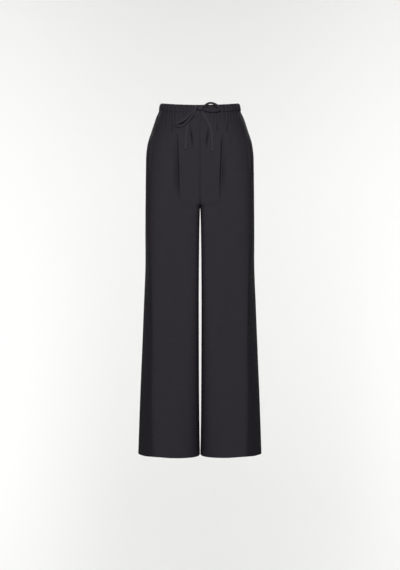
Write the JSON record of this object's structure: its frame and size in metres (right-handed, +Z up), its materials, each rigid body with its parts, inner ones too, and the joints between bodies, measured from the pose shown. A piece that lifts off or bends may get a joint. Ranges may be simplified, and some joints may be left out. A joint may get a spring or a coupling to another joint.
{
  "type": "wide-leg trousers",
  "caption": "Wide-leg trousers in soft dark cloth, filled out as if worn, with a gathered elastic waistband and a flat drawstring tied in a bow.",
  "frame": {"origin": "middle of the waistband ring, halfway up the band", "axes": "+Z up along the legs, -Y to the front, +X to the wearer's left"},
  "size_m": [0.3782, 0.2422, 1.081],
  "materials": {
    "cloth": "matt",
    "tie": "satin",
    "pocketing": "matt"
  },
  "bodies": {
    "root": {"front_left": "cloth", "front_right": "cloth", "back_left": "cloth", "back_right": "cloth", "waistband_front": "cloth", "waistband_back": "cloth", "pocket_left": "pocketing", "pocket_right": "pocketing", "tie_knot": "tie", "tie_loop_left": "tie", "tie_loop_right": "tie", "tie_end_left": "tie", "tie_end_right": "tie"}
  },
  "joints": []
}
